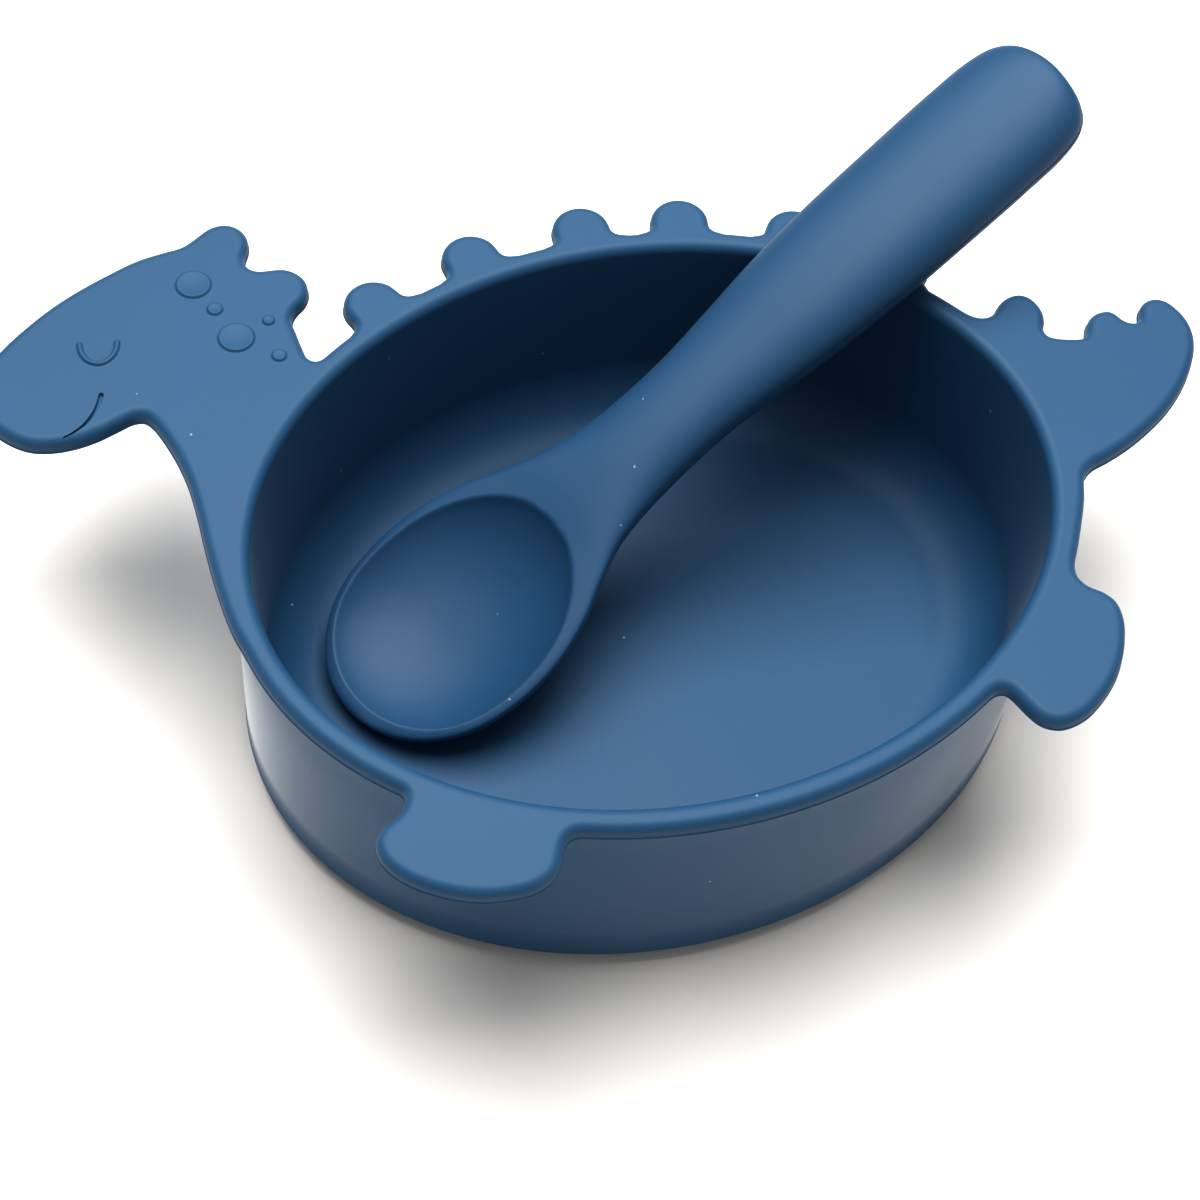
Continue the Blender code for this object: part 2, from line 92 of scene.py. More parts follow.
# ---- a closed surface from rings and flat patches -----------------------------------------------------------------
class Surface:
    """Points in millimetres and faces, built up ring by ring."""

    def __init__(self):
        self.points = []
        self.faces = []

    def ring(self, points):
        first = len(self.points)
        self.points.extend(tuple(float(c) for c in point) for point in points)
        return list(range(first, len(self.points)))

    def band(self, lower, upper):
        """Quads between two rings of the same count. Seen from outside, the rings run anticlockwise from above."""
        count = len(lower)
        for k in range(count):
            after = (k + 1) % count
            self.faces.append((lower[k], lower[after], upper[after], upper[k]))

    def bands(self, rings):
        for lower, upper in zip(rings, rings[1:]):
            self.band(lower, upper)

    def fan(self, ring, centre, facing_up=True):
        middle = self.ring([centre])[0]
        count = len(ring)
        for k in range(count):
            a, b = ring[k], ring[(k + 1) % count]
            self.faces.append((a, b, middle) if facing_up else (b, a, middle))

    def patch(self, outer, hole, contours=(), facing_up=True, spacing=3.0):
        """Triangles over the area between two rings. Other contours inside it stay as edges, at their own heights."""
        rings = [outer] + ([hole] if hole else []) + list(contours)
        flat = [index for ring in rings for index in ring]
        coords = [Vector(self.points[index][:2]) for index in flat]
        edges = []
        start = 0
        for ring in rings:
            edges += [(start + k, start + (k + 1) % len(ring)) for k in range(len(ring))]
            start += len(ring)
        outlines = [np.array([self.points[index][:2] for index in ring]) for ring in rings]
        border, gaps = outlines[0], outlines[1:]
        level = self.points[outer[0]][2]
        low, high = border.min(0), border.max(0)
        rows = np.arange(low[1], high[1], spacing * 0.866)
        columns = np.arange(low[0], high[0], spacing)
        grid = np.array([(x + 0.5 * spacing * (k % 2), y) for k, y in enumerate(rows) for x in columns])
        free = inside(border, grid)
        for gap in gaps:
            free &= ~inside(gap, grid)
        tree = KDTree(len(coords))
        for k, point in enumerate(coords):
            tree.insert((point.x, point.y, 0), k)
        tree.balance()
        for x, y in grid[free]:
            if tree.find((x, y, 0))[2] > 0.45 * spacing:
                flat.append(self.ring([(x, y, level)])[0])
                coords.append(Vector((x, y)))
        found = delaunay_2d_cdt(coords, edges, [], 0, 1e-6)
        crossings = [tuple(point) for point, sources in zip(found[0], found[3]) if len(sources) != 1]
        if crossings:
            raise ValueError(f"outlines of a patch cross at {crossings}")
        triangles = np.array(found[2])
        corners = np.array([tuple(point) for point in found[0]])[triangles]
        kept = inside(border, corners.mean(axis=1))
        if hole:
            kept &= ~inside(gaps[0], corners.mean(axis=1))
        for (a, b, c), triangle in zip(corners[kept], triangles[kept]):
            face = [flat[found[3][k][0]] for k in triangle]
            anticlockwise = (b[0] - a[0]) * (c[1] - a[1]) - (b[1] - a[1]) * (c[0] - a[0]) > 0
            self.faces.append(face if anticlockwise == facing_up else face[::-1])

    def object(self, name, material, shift=None):
        mesh = bpy.data.meshes.new(name)
        mesh.from_pydata([tuple(c * MM for c in point) for point in self.points], [], self.faces)
        bm = bmesh.new()
        bm.from_mesh(mesh)
        bmesh.ops.remove_doubles(bm, verts=bm.verts, dist=1e-7)
        bmesh.ops.recalc_face_normals(bm, faces=bm.faces)
        bm.to_mesh(mesh)
        bm.free()
        if shift:
            mesh.transform(shift)
        mesh.shade_smooth()
        mesh.materials.append(material)
        thing = bpy.data.objects.new(name, mesh)
        bpy.context.scene.collection.objects.link(thing)
        return thing


def inside(polygon, points):
    """Which of the points are inside a closed polygon, both given as arrays."""
    found = np.zeros(len(points), bool)
    x, y = points[:, 0], points[:, 1]
    for (ax, ay), (bx, by) in zip(polygon, np.roll(polygon, -1, axis=0)):
        if ay != by:
            found ^= ((ay > y) != (by > y)) & (x < ax + (y - ay) * (bx - ax) / (by - ay))
    return found


def arc(centre, radius, start, end, steps):
    """Points of a section along an arc, from one angle to another in degrees."""
    angles = [radians(start + (end - start) * k / steps) for k in range(steps + 1)]
    return [(centre[0] + radius * cos(a), centre[1] + radius * sin(a)) for a in angles]


def oval_ring(outset, height, count=OVAL_POINTS):
    angles = np.linspace(0, 2 * pi, count, endpoint=False)
    return [((INNER_A + outset) * cos(a), (INNER_B + outset) * sin(a), height) for a in angles]


# ---- the flange's outline -----------------------------------------------------------------------------------------
def oval(semi_x, semi_y, degrees):
    return Vector((semi_x * cos(radians(degrees)), semi_y * sin(radians(degrees))))


def rounded(corners, steps_per_turn=120):
    """A closed outline from corners (x, y, radius). Each corner with a radius becomes an arc that meets both sides."""
    outline = []
    count = len(corners)
    for k, (x, y, radius) in enumerate(corners):
        here = Vector((x, y))
        before = Vector(corners[k - 1][:2]) - here
        after = Vector(corners[(k + 1) % count][:2]) - here
        if radius <= 0:
            outline.append(here)
            continue
        angle = before.angle(after)
        reach = min(radius / tan(angle / 2), 0.49 * before.length, 0.49 * after.length)
        radius = reach * tan(angle / 2)
        bisector = before.normalized() + after.normalized()
        centre = here + bisector.normalized() * hypot(radius, reach)
        start = here + before.normalized() * reach - centre
        end = here + after.normalized() * reach - centre
        turn = start.angle_signed(end)
        steps = max(2, round(abs(turn) / (2 * pi) * steps_per_turn))
        for i in range(steps + 1):
            a = -turn * i / steps
            outline.append(centre + Vector((start.x * cos(a) - start.y * sin(a), start.x * sin(a) + start.y * cos(a))))
    return outline


def evenly(outline, step, softness=0.5):
    """A closed outline again with even spacing, its bends eased over about the softness's length."""
    points = np.array([tuple(point) for point in outline])
    closed = np.vstack([points, points[:1]])
    lengths = np.hypot(*np.diff(closed, axis=0).T)
    keep = np.append(lengths > 1e-9, True)
    closed = closed[keep]
    along = np.append(0, np.cumsum(np.hypot(*np.diff(closed, axis=0).T)))
    count = ceil(along[-1] / step)
    at = np.linspace(0, along[-1], count, endpoint=False)
    even = np.stack([np.interp(at, along, closed[:, k]) for k in range(2)], axis=1)
    for _ in range(round(2 * (softness / step) ** 2)):
        even = even / 2 + (np.roll(even, 1, axis=0) + np.roll(even, -1, axis=0)) / 4
    return even


def inset(outline, distance):
    """An anticlockwise outline moved in by a distance along its normals."""
    along = np.roll(outline, -1, axis=0) - np.roll(outline, 1, axis=0)
    along /= np.hypot(*along.T)[:, None]
    return outline + distance * np.stack([-along[:, 1], along[:, 0]], axis=1)


KNOB_ANGLES = (33.5, 50.3, 67.0, 81.0, 97.2, 113.0)
KNOB_RADIUS = 4.75
KNOB_RISE = 2.2  # height of the knob's centre over the rim's outer edge
KNOB_FOOT = [(-6.0, 0.05), (-5.15, 0.35), (-4.75, 1.1)]  # fillet: across the knob, and out from the rim
KNOB_MARGIN = 6.4  # degrees of rim between a knob's middle and the next plain rim

# The outline's free shapes, anticlockwise, as points (x, y) that one smooth curve passes through.
# Head, from the last knob: nape, two horns, brow, snout, chin, throat, neck.
HEAD = [
    (-36.3, 42.9), (-37.6, 42.5), (-38.4, 43.4), (-38.5, 45.5), (-38.4, 49.0), (-38.2, 51.6),
    (-37.2, 52.8), (-35.2, 54.2), (-34.0, 56.0), (-33.7, 58.0), (-34.6, 60.1), (-36.3, 61.5),
    (-38.4, 62.0), (-40.1, 62.4), (-41.2, 63.7), (-41.1, 65.4), (-40.1, 66.9), (-39.3, 69.0),
    (-39.8, 71.4), (-41.7, 73.1), (-44.4, 73.2), (-47.2, 71.9), (-49.5, 70.9), (-52.4, 70.8),
    (-56.0, 70.6), (-62.6, 69.0), (-70.9, 66.0), (-76.0, 63.3), (-80.7, 60.2), (-84.2, 57.2),
    (-86.6, 53.5), (-87.0, 49.6), (-85.6, 46.2), (-83.6, 43.2), (-81.6, 41.4), (-79.0, 40.3),
    (-75.8, 39.8), (-72.0, 40.0), (-68.4, 40.8), (-65.9, 41.3), (-64.6, 41.0), (-63.9, 39.8),
    (-63.2, 37.1), (-62.5, 32.5), (-62.3, 27.6), (-62.7, 22.4), (-63.5, 15.9), (-64.2, 8.0),
    (-64.3, 1.1),
]
# Tail, from the rim at the front: underside, tip, three small bumps.
TAIL = [
    (54.4, -28.4), (56.8, -25.2), (58.8, -22.4), (60.2, -20.3), (61.2, -18.5), (62.2, -16.8),
    (63.8, -15.7), (67.4, -14.9), (71.3, -13.9), (75.7, -12.3), (80.2, -10.2), (84.4, -7.5),
    (88.0, -4.4), (90.8, -1.2), (92.4, 2.0), (92.8, 4.9), (92.4, 7.2), (91.5, 9.2),
    (90.1, 10.2), (88.4, 10.3), (86.9, 9.5), (86.0, 8.1), (85.3, 7.0), (84.1, 7.0),
    (83.1, 8.0), (82.7, 9.3), (81.9, 10.4), (80.4, 10.8), (78.7, 10.5), (77.3, 9.5),
    (76.3, 8.0), (75.3, 7.0), (73.5, 7.4), (71.4, 8.3), (70.2, 9.2), (70.2, 10.3),
    (71.1, 11.6), (71.8, 13.2), (71.9, 15.2), (71.4, 16.9), (70.3, 18.1), (68.7, 18.5),
    (66.8, 18.1), (65.2, 17.1), (64.0, 16.1), (62.6, 15.9),
]
LEFT_FOOT = [
    (-51.9, -30.2), (-51.2, -31.5), (-51.8, -32.9), (-53.4, -34.2), (-55.7, -35.2), (-57.2, -36.6),
    (-57.6, -38.9), (-56.9, -41.4), (-55.2, -43.9), (-52.8, -46.2), (-49.8, -48.3), (-46.7, -49.8),
    (-43.3, -50.7), (-39.6, -50.9), (-36.9, -49.9), (-35.1, -47.9), (-33.9, -46.0), (-32.5, -45.2),
]
RIGHT_FOOT = [
    (31.8, -45.4), (33.1, -45.8), (33.7, -47.3), (34.3, -49.6), (35.3, -52.0), (37.3, -53.5),
    (40.9, -53.6), (45.7, -51.6), (50.2, -48.2), (53.2, -44.4), (54.9, -41.1), (55.3, -38.0),
    (54.3, -35.9), (52.6, -34.0), (52.2, -32.2), (53.0, -30.2),
]


def rim_arc(start, end, step=5.0):
    """Points along the rim's outer edge, from one ellipse angle to another."""
    count = max(1, round(abs(end - start) / step))
    angles = [start + (end - start) * k / count for k in range(count + 1)]
    return [tuple(oval(INNER_A + RIM_BAND, INNER_B + RIM_BAND, angle)) for angle in angles]


def knob(degrees):
    """One round knob on the back with its small fillets to the rim, going anticlockwise."""
    root = oval(INNER_A + RIM_BAND, INNER_B + RIM_BAND, degrees)
    out = Vector((root.x / (INNER_A + RIM_BAND) ** 2, root.y / (INNER_B + RIM_BAND) ** 2)).normalized()
    along = Vector((-out.y, out.x))
    turns = [radians(angle) for angle in range(-96, 97, 24)]
    crown = [(KNOB_RADIUS * sin(turn), KNOB_RISE + KNOB_RADIUS * cos(turn)) for turn in turns]
    profile = KNOB_FOOT + crown + [(-across, rise) for across, rise in reversed(KNOB_FOOT)]
    return [tuple(root + along * across + out * rise) for across, rise in profile]


def smooth_outline(points, spacing):
    """A smooth closed curve through the points, again as points, about the spacing apart."""
    corners = [Vector(point) for point in points]
    count = len(corners)
    lengths = [(corners[(k + 1) % count] - corners[k]).length for k in range(count)]
    slopes = []
    for k in range(count):
        before, after = lengths[k - 1], lengths[k]
        into = (corners[k] - corners[k - 1]) / before
        onward = (corners[(k + 1) % count] - corners[k]) / after
        slopes.append((into * after + onward * before) / (before + after))
    dense = []
    for k in range(count):
        start, end, length = corners[k], corners[(k + 1) % count], lengths[k]
        pieces = max(1, round(length / spacing))
        for i in range(pieces):
            t = i / pieces
            toward_end = 3 * t**2 - 2 * t**3
            bend = slopes[k] * (t**3 - 2 * t**2 + t) + slopes[(k + 1) % count] * (t**3 - t**2)
            dense.append(start.lerp(end, toward_end) + bend * length)
    return dense


def flange_outline(spacing=0.4):
    """The silhouette seen from above, anticlockwise: oval rim, knobs, head with horns, feet and tail."""
    points = list(TAIL)
    last = KNOB_ANGLES[0] - 16.0 + KNOB_MARGIN
    for angle in KNOB_ANGLES:
        points += rim_arc(last, angle - KNOB_MARGIN) + knob(angle)
        last = angle + KNOB_MARGIN
    points += rim_arc(last, 122.0) + HEAD
    points += rim_arc(184.0, 212.0) + LEFT_FOOT
    points += rim_arc(241.0, 298.5) + RIGHT_FOOT
    return smooth_outline(points, spacing)


# ---- the animal's face, in relief ---------------------------------------------------------------------------------
SPOTS = [
    ((-50.3, 62.1), 2.67), ((-48.75, 56.4), 1.18), ((-47.5, 50.0), 2.72), ((-41.9, 51.6), 0.9),
    ((-42.6, 44.6), 1.1),
]
SPOT_RISE = 0.42
EYE_LINE = [
    (-69.65, 56.5), (-69.85, 55.0), (-69.45, 53.3), (-68.3, 52.2), (-67.0, 52.1), (-65.7, 52.8),
    (-64.8, 53.9), (-64.3, 55.1),
]
EYE_HALF = 0.36
MOUTH_LINE = [
    (-69.35, 46.4), (-70.0, 45.2), (-70.9, 43.95), (-72.0, 42.85), (-73.4, 41.8), (-75.0, 41.1),
    (-76.6, 40.75),
]
MOUTH_HALF = 0.40


def smooth_line(points, count):
    """Points along a smooth curve through the given ones."""
    points = np.array(points, float)
    ends = np.vstack([2 * points[0] - points[1], points, 2 * points[-1] - points[-2]])
    at = np.linspace(0, len(points) - 1, count)
    line = []
    for t in at:
        k = min(int(t), len(points) - 2)
        u = t - k
        a, b, c, d = ends[k : k + 4]
        line.append(0.5 * (2 * b + (c - a) * u + (2 * a - 5 * b + 4 * c - d) * u * u + (3 * b - a - 3 * c + d) * u**3))
    return np.array(line)


def stroke_contour(line, halves, steps=7):
    """A closed contour round a stroke, at its own half width along it, with round ends. It runs anticlockwise."""
    along = np.gradient(line, axis=0)
    along /= np.hypot(*along.T)[:, None]
    side = np.stack([-along[:, 1], along[:, 0]], axis=1) * halves[:, None]
    right = list(line - side)
    left = list((line + side)[::-1])
    contour = list(right)
    for end, other in (((line[-1], along[-1], halves[-1]), left), ((line[0], -along[0], halves[0]), [])):
        middle, ahead, half = end
        start = atan2(ahead[1], ahead[0]) - pi / 2
        for k in range(1, steps):
            a = start + pi * k / steps
            contour.append(middle + half * np.array([cos(a), sin(a)]))
        contour += other
    return contour


def relief(surface):
    """Contours of the spots and the closed eye, each at its height over the flange."""
    contours = []
    steps = [
        (0.42, 0.0), (0.24, 0.0), (0.12, 0.08), (0.03, 0.24), (-0.10, 0.80), (-0.22, 1.0),
        (-0.36, 0.98), (-0.52, 0.86),
    ]
    for centre, radius in SPOTS:
        count = max(28, round(radius * 26))
        for outset, rise in steps:
            if radius + outset < 0.3:
                continue
            reach = radius + outset
            height = RIM_TOP + SPOT_RISE * rise
            angles = np.linspace(0, 2 * pi, count, endpoint=False)
            ring = [(centre[0] + reach * cos(a), centre[1] + reach * sin(a), height) for a in angles]
            contours.append(surface.ring(ring))
    eye = smooth_line(EYE_LINE, 60)
    for widen, rise in ((0.42, 0.0), (0.2, 0.0), (0.08, 0.12), (0.0, 0.42), (-0.12, 0.85), (-0.24, 1.0)):
        halves = np.full(len(eye), EYE_HALF + widen)
        height = RIM_TOP + SPOT_RISE * rise
        contours.append(surface.ring((*point, height) for point in stroke_contour(eye, halves)))
    return contours


def mouth_cutter(material):
    """The mouth's groove as a solid with a round bottom, widest at the cheek and drawn out to a fine line."""
    line = smooth_line(MOUTH_LINE, 70)
    taper = 1.0 - 0.75 * np.linspace(0, 1, len(line)) ** 1.4
    surface = Surface()
    rings = []
    for share, drop in ((0.35, 0.62), (0.72, 0.52), (0.93, 0.30), (1.0, 0.0), (1.3, -0.12), (1.6, -0.6)):
        contour = stroke_contour(line, MOUTH_HALF * taper * share)
        rings.append(surface.ring((*point, RIM_TOP - drop) for point in contour))
    surface.bands(rings)
    surface.patch(rings[0], None, facing_up=False)
    surface.patch(rings[-1], None)
    return surface.object("mouth", material, TO_ROW)


# ---- pieces -------------------------------------------------------------------------------------------------------
def make_bowl(material):
    """The bowl and its flange in one moulding: rolled edges, parting line, face in relief, socket for the plug."""
    surface = Surface()
    edge = evenly(flange_outline(), OUTLINE_STEP)
    level = np.hypot(edge[:, 0] / (INNER_A + RIM_BAND), edge[:, 1] / (INNER_B + RIM_BAND))
    edge /= np.minimum(level, 1)[:, None]  # nowhere narrower than the rim itself
    under = RIM_TOP - FLANGE
    section = [(FLASH + 0.3, under), (FLASH + 0.1, under + 0.02), (0.0, under + 0.1), (0.0, under + 0.22)]
    section += [(FLASH, under + 0.34)]
    section += [(FLASH + ROLL - x, y) for x, y in arc((0, RIM_TOP - ROLL), ROLL, 0, 90, 9)]
    section += [(FLASH + ROLL + 0.15, RIM_TOP)]
    flange = [surface.ring((*point, z) for point in inset(edge, d)) for d, z in section]
    surface.bands(flange)

    mouth = [(MOUTH_ROLL + 0.15, RIM_TOP)]
    mouth += arc((MOUTH_ROLL, RIM_TOP - MOUTH_ROLL), MOUTH_ROLL, 90, 180, 10)
    wall_top, wall_foot = RIM_TOP - MOUTH_ROLL, FLOOR_TOP + FLOOR_ROUND
    mouth += [(-DRAFT * k / 6, wall_top + (wall_foot - wall_top) * k / 6) for k in range(1, 6)]
    mouth += arc((-DRAFT - FLOOR_ROUND, wall_foot), FLOOR_ROUND, 0, -90, 20)
    hollow = [surface.ring(oval_ring(outset, z)) for outset, z in mouth]
    for share in (0.97, 0.8, 0.6, 0.4, 0.2, 0.08):
        reach = INNER_A - DRAFT - FLOOR_ROUND, INNER_B - DRAFT - FLOOR_ROUND
        angles = np.linspace(0, 2 * pi, OVAL_POINTS, endpoint=False)
        hollow.append(surface.ring((reach[0] * share * cos(a), reach[1] * share * sin(a), FLOOR_TOP) for a in angles))
    surface.bands(hollow)
    surface.fan(hollow[-1], (0, 0, FLOOR_TOP))
    surface.patch(flange[-1], hollow[0], relief(surface))

    fillet = 0.5
    outside = [(WALL + fillet + 0.1, under)] + arc((WALL + fillet, under - fillet), fillet, 90, 180, 6)
    outside += [(WALL, under - fillet - (under - fillet - WALL_FOOT - 0.6) * k / 6) for k in range(1, 6)]
    outside += [(WALL, WALL_FOOT + 0.6), (WALL + FLASH, WALL_FOOT + 0.42), (WALL + FLASH, WALL_FOOT + 0.26)]
    outside += [(WALL - 0.1, WALL_FOOT + 0.1), (WALL - 0.5, WALL_FOOT)]
    side = WALL - PLUG_INSET + GAP
    top = WALL_FOOT + PLUG_RISE + GAP
    outside += [(side + 0.3, WALL_FOOT), (side, WALL_FOOT + 0.15), (side, WALL_FOOT + 0.5)]
    outside += [(side + PLUG_BEAD, WALL_FOOT + 0.9), (side + PLUG_BEAD, top - 0.3), (side + PLUG_BEAD - 0.3, top)]
    shell = [surface.ring(oval_ring(outset, z)) for outset, z in outside]
    surface.bands(shell)
    surface.patch(flange[0], shell[0], facing_up=False)
    surface.fan(shell[-1], (0, 0, top), facing_up=False)
    bowl = surface.object("bowl", material, TO_ROW)
    combine(bowl, "DIFFERENCE", mouth_cutter(material))
    return bowl


def make_base(material):
    """The suction base: soft lip, shallow hollow with three fine grip rings, plug with its bead, and the release tab."""
    surface = Surface()
    lip = WALL - LIP_INSET
    plug = WALL - PLUG_INSET
    under = WALL_FOOT - GAP
    inner = lip - LIP_BAND
    section = [(inner - 20.0, DOME), (inner - 14.0, DOME)]
    for ring in (11.0, 8.0, 5.0):
        rise = DOME * (1 - ((14.0 - ring) / 14.0) ** 2) * 0.9 + 0.05
        section += [(inner - ring - 0.5, rise), (inner - ring - 0.2, rise - 0.22)]
        section += [(inner - ring + 0.2, rise - 0.22), (inner - ring + 0.5, rise)]
    section += [(inner - 0.8, 0.22), (inner - 0.2, 0.02), (inner + 0.2, 0.0), (lip - 0.7, 0.0)]
    section += arc((lip - 0.5, 0.5), 0.5, -90, 0, 5) + [(lip, LIP_THICK - 0.4)]
    section += arc((lip - 0.4, LIP_THICK - 0.4), 0.4, 0, 80, 4)
    section += [(lip - 3.0, under - 0.45), (lip - 4.5, under - 0.02), (lip - 5.2, under)]
    section += [(plug + 0.4, under), (plug, under + 0.3), (plug, WALL_FOOT + 0.7)]
    section += [(plug + PLUG_BEAD, WALL_FOOT + 1.2), (plug + PLUG_BEAD, WALL_FOOT + PLUG_RISE - 0.3)]
    section += [(plug + 0.3, WALL_FOOT + PLUG_RISE)]
    rings = [surface.ring(oval_ring(outset, z, 360)) for outset, z in section]
    surface.bands(rings)
    surface.fan(rings[0], (0, 0, DOME), facing_up=False)
    surface.fan(rings[-1], (0, 0, WALL_FOOT + PLUG_RISE))
    base = surface.object("suction_cup", material, TO_ROW)
    combine(base, "UNION", make_tab(lip, material))
    return base


def combine(thing, operation, tool):
    """Joins the tool to the thing, or cuts it out, removes the tool, and keeps the seam's edges sharp."""
    modifier = thing.modifiers.new("combine", "BOOLEAN")
    modifier.operation = operation
    modifier.object = tool
    mesh = bpy.data.meshes.new_from_object(thing.evaluated_get(bpy.context.evaluated_depsgraph_get()))
    thing.modifiers.clear()
    thing.data = mesh
    mesh.shade_smooth()
    mesh.set_sharp_from_angle(angle=radians(40))
    bpy.data.objects.remove(tool, do_unlink=True)


def make_tab(lip, material):
    """The finger tab: a tongue out of the lip with grip ribs across its end."""
    root = oval(INNER_A + lip, INNER_B + lip, TAB_ANGLE)
    out = Vector((root.x / (INNER_A + lip) ** 2, root.y / (INNER_B + lip) ** 2)).normalized()
    along = Vector((-out.y, out.x))
    half = TAB_WIDTH / 2
    start = root - out * 2.2
    corners = []
    for side, reach, radius in (
        (-half - 1.0, 0.0, 1.4), (-half, 3.4, 3.0), (-half, TAB_REACH + 2.2, 6.0),
        (half, TAB_REACH + 2.2, 6.0), (half, 3.4, 3.0), (half + 1.0, 0.0, 1.4),
    ):
        point = start + along * side + out * reach
        corners.append((point.x, point.y, radius))
    edge = evenly(rounded(corners), 0.3, 0.3)
    surface = Surface()
    top = TAB_THICK + 0.2
    section = [(0.5, 0.35), (0.15, 0.45), (0.0, 0.7), (0.0, top - 0.6)]
    section += [(0.6 - x, y) for x, y in arc((0, top - 0.6), 0.6, 20, 90, 5)]
    rings = [surface.ring((*point, z) for point in inset(edge, d)) for d, z in section]
    surface.bands(rings)
    ribs = []
    for reach in (6.2, 7.9, 9.6):
        middle = start + out * reach
        span = half - 2.4 - 0.12 * (reach - 6.2) ** 2
        line = np.array([tuple(middle + along * s) for s in np.linspace(-span, span, 30)])
        for widen, rise in ((0.32, 0.0), (0.14, 0.22), (0.0, 0.34)):
            halves = np.full(len(line), 0.22 + widen)
            ribs.append(surface.ring((*point, top + rise) for point in stroke_contour(line, halves, 5)))
    surface.patch(rings[-1], None, ribs, spacing=1.5)
    surface.patch(rings[0], None, facing_up=False, spacing=1.5)
    return surface.object("tab", material, TO_ROW)


# Stations along the spoon from the tip: distance, half width, top and bottom over the scoop's rim plane.
SPOON_STATIONS = [
    (0.0, 0.3, -1.2, -1.9),
    (0.25, 2.5, -0.6, -2.3),
    (1.0, 5.4, -0.15, -3.0),
    (2.8, 9.1, 0.0, -4.4),
    (6.4, 13.1, 0.0, -6.1),
    (12.0, 16.4, 0.0, -7.4),
    (20.0, 18.0, 0.0, -8.0),
    (28.0, 17.6, 0.2, -7.7),
    (35.0, 15.6, 0.6, -6.8),
    (41.0, 12.8, 1.3, -5.6),
    (47.0, 10.2, 2.2, -5.0),
    (54.0, 8.7, 2.9, -5.0),
    (63.0, 8.0, 3.5, -5.1),
    (72.0, 8.1, 4.0, -5.2),
    (82.0, 9.1, 4.6, -5.4),
    (92.0, 10.2, 5.3, -5.7),
    (104.0, 10.9, 5.8, -5.9),
    (118.0, 11.2, 6.0, -6.1),
    (130.0, 11.3, 6.1, -6.2),
    (138.5, 11.0, 6.0, -6.2),
    (142.6, 9.9, 5.8, -6.0),
    (144.8, 7.9, 5.4, -5.6),
    (145.7, 5.4, 4.8, -5.1),
    (146.0, 2.6, 4.0, -4.4),
    (146.05, 0.4, 3.4, -3.8),
]
HOLLOW_OUTLINE = [
    (2.2, 0.0), (2.7, 4.0), (4.6, 8.6), (8.4, 12.9), (13.5, 15.5), (19.5, 16.5), (26.5, 16.0),
    (33.0, 13.7), (38.0, 9.9), (41.2, 5.2), (42.2, 0.0),
]
HOLLOW_DEPTH = 6.2
HOLLOW_CENTRE = 21.5


def spline_through(points, count):
    """Rows of numbers on a smooth curve through the given rows, spaced by the chord between them."""
    points = np.array(points, float)
    knots = np.append(0, np.cumsum(np.sqrt(np.hypot(*np.diff(points[:, :2], axis=0).T))))
    slopes = np.zeros_like(points)
    steps = np.diff(knots)[:, None]
    chords = np.diff(points, axis=0) / steps
    slopes[1:-1] = (chords[:-1] * steps[1:] + chords[1:] * steps[:-1]) / (steps[:-1] + steps[1:])
    slopes[0], slopes[-1] = chords[0], chords[-1]
    rows = []
    for t in np.linspace(0, knots[-1], count):
        k = min(np.searchsorted(knots, t, side="right") - 1, len(points) - 2)
        h = knots[k + 1] - knots[k]
        u = (t - knots[k]) / h
        rows.append(
            (2 * u**3 - 3 * u**2 + 1) * points[k] + (u**3 - 2 * u**2 + u) * h * slopes[k]
            + (3 * u**2 - 2 * u**3) * points[k + 1] + (u**3 - u**2) * h * slopes[k + 1]
        )
    return np.array(rows)


def hollow_depth(x, y):
    """Depth of the scoop's hollow under its rim plane at points along and across the spoon."""
    outline = spline_through(HOLLOW_OUTLINE, 200)
    angles = np.arctan2(outline[:, 1], outline[:, 0] - HOLLOW_CENTRE)
    reaches = np.hypot(outline[:, 1], outline[:, 0] - HOLLOW_CENTRE)
    order = np.argsort(angles)
    angle = np.arctan2(np.abs(y), x - HOLLOW_CENTRE)
    share = np.hypot(x - HOLLOW_CENTRE, y) / np.interp(angle, angles[order], reaches[order])
    depth = HOLLOW_DEPTH * np.clip(1 - share**2.3, 0, 1) ** 0.72
    return depth * depth / (depth + 0.35)


